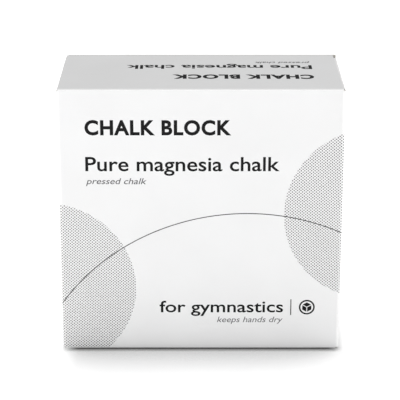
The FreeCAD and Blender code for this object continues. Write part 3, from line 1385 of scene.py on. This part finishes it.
@dataclass
class WrappedBlock:
    """One block's paper, folded over at both ends like a parcel."""

    node: str
    finishes: Finishes
    inset: float = 0.10 * MM
    rounding: float = 0.95 * MM
    crumple: float = 0.10 * MM
    sheet: float = 0.07 * MM
    flap: float = 13.5 * MM
    flap_taper: float = 0.9
    under_lift: float = 0.045 * MM
    over_lift: float = 0.13 * MM
    curl: float = 0.16 * MM
    grid: tuple[int, int, int] = (20, 10, 20)
    wrinkles: float = 170.0
    crisp: float = 40.0

    def build(self) -> Piece:
        """Folds the paper round the block.

        Returns:
            The wrapper.
        """
        low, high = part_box(self.node)
        low += Vector((self.inset,) * 3)
        high -= Vector((self.inset,) * 3)
        size, middle = high - low, (low + high) / 2
        mesh = bmesh.new()
        bmesh.ops.create_cube(mesh, size=1.0)
        bmesh.ops.scale(mesh, verts=mesh.verts, vec=size)
        bmesh.ops.bevel(mesh, geom=mesh.edges[:], offset=self.rounding, segments=3,
                        profile=0.5, affect="EDGES", material=-1)
        for axis, steps in enumerate(self.grid):
            normal = Vector([float(i == axis) for i in range(3)])
            for step in range(1, steps):
                place = normal * (step / steps - 0.5) * size[axis]
                everything = mesh.verts[:] + mesh.edges[:] + mesh.faces[:]
                bmesh.ops.bisect_plane(mesh, geom=everything, dist=TINY, plane_co=place,
                                       plane_no=normal)
        bmesh.ops.recalc_face_normals(mesh, faces=mesh.faces[:])
        mesh.normal_update()
        for vert in mesh.verts:
            # Mostly inward, with sharp ridges where the noise crosses zero.
            fold = noise.noise((vert.co + middle) * self.wrinkles)
            vert.co += vert.normal * self.crumple * (abs(fold) * 1.6 - 0.75)
        for way in (-1, 1):
            self.end_flap(mesh, size, way, 1, self.under_lift)
            self.end_flap(mesh, size, way, -1, self.over_lift)
        bmesh.ops.translate(mesh, verts=mesh.verts, vec=middle)
        name = self.node.replace("wrapper", "paper_wrap")
        wrap = as_piece(name, mesh, [self.finishes.paper])
        wall = wrap.modifiers.new("sheet", "SOLIDIFY")
        wall.thickness, wall.offset = self.sheet, -1.0
        settle(wrap, self.crisp)
        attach(wrap, "carton")
        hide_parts(self.node)
        return wrap

    def end_flap(self, mesh: bmesh.types.BMesh, size: Vector, way: int, side: int,
                 lift: float) -> None:
        """Adds one long end flap, tapered by the corner folds beneath it.

        Args:
            mesh: the wrapper so far, centred on zero.
            size: the wrapper's size.
            way: 1 for the upper end, -1 for the lower.
            side: the long face that it comes from, by its sign along Y.
            lift: its height over the end.
        """
        half = size.x / 2 - self.rounding * 0.6
        root = side * (size.y / 2 - self.rounding * 0.5)
        tip = root - side * self.flap
        height = way * (size.z / 2 + lift)
        far = half - self.flap * self.flap_taper
        corners = ((-half, root), (half, root), (far, tip), (-far, tip))
        flap = mesh.faces.new([mesh.verts.new((x, y, height)) for x, y in corners])
        made = bmesh.ops.subdivide_edges(mesh, edges=flap.edges[:], cuts=8, use_grid_fill=True)
        points = {vert for part in made["geom"] if isinstance(part, bmesh.types.BMFace)
                  for vert in part.verts}
        for vert in points:
            share = (root - vert.co.y) / (root - tip)
            wave = noise.noise(Vector((vert.co.x * 90.0, side, way)))
            vert.co.z += way * self.curl * share ** 3 * (0.6 + 0.8 * abs(wave))
            if share < 0.05:  # the root goes into the wrapper, so that no gap shows
                vert.co.z -= way * lift * 1.5
        mesh.normal_update()
        turned = [face for face in mesh.faces if way * face.normal.z < 0
                  and all(vert in points for vert in face.verts)]
        bmesh.ops.reverse_faces(mesh, faces=turned)


# ---------------------------------------------------------------- the studio


@dataclass
class Studio:
    """A pale floor, soft light from all round and from the front, and the camera."""

    floor_size: float = 12.0
    floor_drop: float = 0.1 * MM
    floor_tone: Colour = (0.9, 0.9, 0.9)
    # Colour of the painted contact and wide shadows on the floor.
    painted_shadow_tone: Colour = (0.01, 0.01, 0.01)
    camera_place: Place = (-0.00036, -0.6345, 0.2807)
    camera_pitch: float = 19.69
    camera_lens: float = 150.0
    camera_sensor: float = 36.0
    key_place: Place = (0.16, -0.78, 0.16)
    key_target: Place = (0.0, 0.0, 0.05)
    key_size: tuple[float, float] = (0.6, 0.10)
    key_power: float = 0.64
    horizon: float = 0.58
    zenith: float = 1.46
    sky_top: float = 0.9
    left_card: float = 0.38
    card_span: tuple[float, float] = (-0.8, 0.3)
    floor_glow: float = 0.52
    # Painted light: extra floor glow on the carton's left.
    left_painted_light: float = 0.30
    # Reach and strength of the painted contact shadow, taken from ambient occlusion.
    contact_shadow_reach: float = 3.6 * MM
    contact_shadow_power: float = 3.0
    # The painted wide shadow, in front of the carton and fainter on its right.
    wide_shadow_reach: float = 42.0 * MM
    wide_shadow_depth: float = 1.7
    wide_shadow_right: float = 0.4
    wide_shadow_tone: float = 0.3
    front_line: float = -22.0 * MM
    right_line: float = 50.0 * MM
    left_line: float = -49.0 * MM
    shade_edge: float = 8.0 * MM

    def floor(self) -> Piece:
        """Lays the floor, which glows, with painted shadows near what stands on it and painted
        light on its left.

        Returns:
            The floor.
        """
        mesh = bmesh.new()
        bmesh.ops.create_grid(mesh, x_segments=2, y_segments=2, size=self.floor_size / 2)
        bmesh.ops.translate(mesh, verts=mesh.verts, vec=(0, 0, -self.floor_drop))
        recipe = Recipe("studio_floor")
        close, wide = (recipe.add("AmbientOcclusion", {"Distance": reach},
                                  samples=8).outputs["AO"]
                       for reach in (self.contact_shadow_reach, self.wide_shadow_reach))
        spot = recipe.add("SeparateXYZ", {0: recipe.place()}).outputs
        left = recipe.ramp(spot["X"], self.left_line, self.left_line - self.shade_edge)
        right = recipe.ramp(spot["X"], self.right_line, self.right_line + self.shade_edge)
        before = recipe.ramp(spot["Y"], self.front_line, self.front_line - self.shade_edge)

        # A painted contact shadow darkens the floor's colour and glow before and behind the
        # carton, not beside it.
        beside = recipe.maths("MAXIMUM", left, right)
        near = recipe.maths("MAXIMUM", recipe.maths("POWER", close, self.contact_shadow_power), beside)
        # The wide shadow is a painted shadow in front of the carton, with a fainter painted one
        # on its right.
        shaded = recipe.maths("MAXIMUM", before, recipe.maths("MULTIPLY", right, self.wide_shadow_right))
        wide_shadow = recipe.maths("MULTIPLY", shaded, recipe.maths("SUBTRACT", 1.0, wide))
        wide_shadow = recipe.maths("MULTIPLY_ADD", wide_shadow, -self.wide_shadow_depth, 1.0)

        # The floor's glow drops inside the painted shadows.
        outside_painted_shadow = recipe.maths("MULTIPLY", near, wide_shadow)
        # Painted light: the floor glows more beside the carton's left.
        painted_left_glow = recipe.maths("MULTIPLY", left, self.left_painted_light)
        glow = recipe.maths("MULTIPLY_ADD", outside_painted_shadow, self.floor_glow, painted_left_glow)
        # The painted shadows also darken the floor's colour.
        wide_shadow_in_colour = recipe.maths("MULTIPLY_ADD", wide_shadow, self.wide_shadow_tone, 1.0 - self.wide_shadow_tone)
        tone = recipe.blend(recipe.maths("MULTIPLY", near, wide_shadow_in_colour), self.painted_shadow_tone,
                            self.floor_tone)
        surface = recipe.add("BsdfPrincipled", {"Base Color": tone,
                                                "Roughness": 1.0,
                                                "Specular IOR Level": 0.0,
                                                "Emission Color": (1.0, 1.0, 1.0, 1.0),
                                                "Emission Strength": glow})
        recipe.add("OutputMaterial", {"Surface": surface.outputs[0]})
        floor = as_piece("studio_floor", mesh, [recipe.material])
        floor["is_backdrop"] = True
        return floor

    def sky(self) -> None:
        """Lights the room from all round: more from above, less from the left."""
        world = bpy.data.worlds.new("soft_room")
        world.use_nodes = True
        bpy.context.scene.world = world
        room = Recipe.of_tree(world.node_tree)
        way = room.add("SeparateXYZ", {0: room.add("TexCoord").outputs["Generated"]})
        height = room.ramp(way.outputs["Z"], 0.0, self.sky_top, self.horizon, self.zenith)
        card = room.ramp(way.outputs["X"], *self.card_span, self.left_card)
        strength = room.maths("MULTIPLY", height, card)
        back = room.add("Background", {"Strength": strength})
        room.add("OutputWorld", {"Surface": back.outputs[0]})

    def lamp(self) -> None:
        """Hangs the key light, a wide low bar in front of the carton."""
        data = bpy.data.lights.new("key", "AREA")
        data.shape, data.energy = "RECTANGLE", self.key_power
        data.size, data.size_y = self.key_size
        light = bpy.data.objects.new("key", data)
        light.location = self.key_place
        aim = Vector(self.key_target) - Vector(self.key_place)
        light.rotation_euler = aim.to_track_quat("-Z", "Y").to_euler()
        bpy.context.scene.collection.objects.link(light)

    def camera(self) -> None:
        """Sets up the camera in front of the carton, a little above it."""
        data = bpy.data.cameras.new("camera")
        data.lens, data.sensor_width = self.camera_lens, self.camera_sensor
        data.clip_start, data.clip_end = 0.01, 50.0
        camera = bpy.data.objects.new("camera", data)
        camera.location = self.camera_place
        camera.rotation_euler = (QUARTER - math.radians(self.camera_pitch), 0.0, 0.0)
        bpy.context.scene.collection.objects.link(camera)
        bpy.context.scene.camera = camera

    def build(self) -> None:
        """Sets up the floor, the light and the camera."""
        self.floor()
        self.sky()
        self.lamp()
        self.camera()
        bpy.context.scene.view_settings.view_transform = "Standard"


def main() -> None:
    """Builds the object and its studio."""
    logging.basicConfig(level=logging.INFO, format="%(message)s")
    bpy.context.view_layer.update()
    finishes = Finishes.make()
    sizes = CartonSizes.from_frame()
    sleeve = Sleeve(sizes, finishes)
    lid = Lid(sizes, finishes)
    pieces = [sleeve.build(), *lid.build()]
    pieces += [DustFlap(sizes, finishes, side).build() for side in Side]
    pieces += SnapLockBottom(sizes, finishes).build()

    front = Printer(sleeve.route, sleeve.spot_on_front, "carton", finishes)
    pieces += [front.line("front", line) for line in FRONT_LINES]
    pieces.append(front.divider("front", across=90.65, low=14.5, high=21.3))
    pieces.append(front.block_sign("front", across=97.0, up=17.9, radius=3.15))
    top = Printer(lid.route, lid.spot_on_lid, "lid", finishes)
    pieces += [top.line("lid", line) for line in LID_LINES]

    for node, solid in frame["nodes"].items():
        if node.startswith("wrapper_"):
            pieces.append(WrappedBlock(node, finishes).build())
        elif node.startswith("chalk_block_"):
            solid.data.materials.clear()
            solid.data.materials.append(finishes.chalk)
    for piece in pieces:
        report(piece)
    Studio().build()


if __name__ == "__main__":
    main()
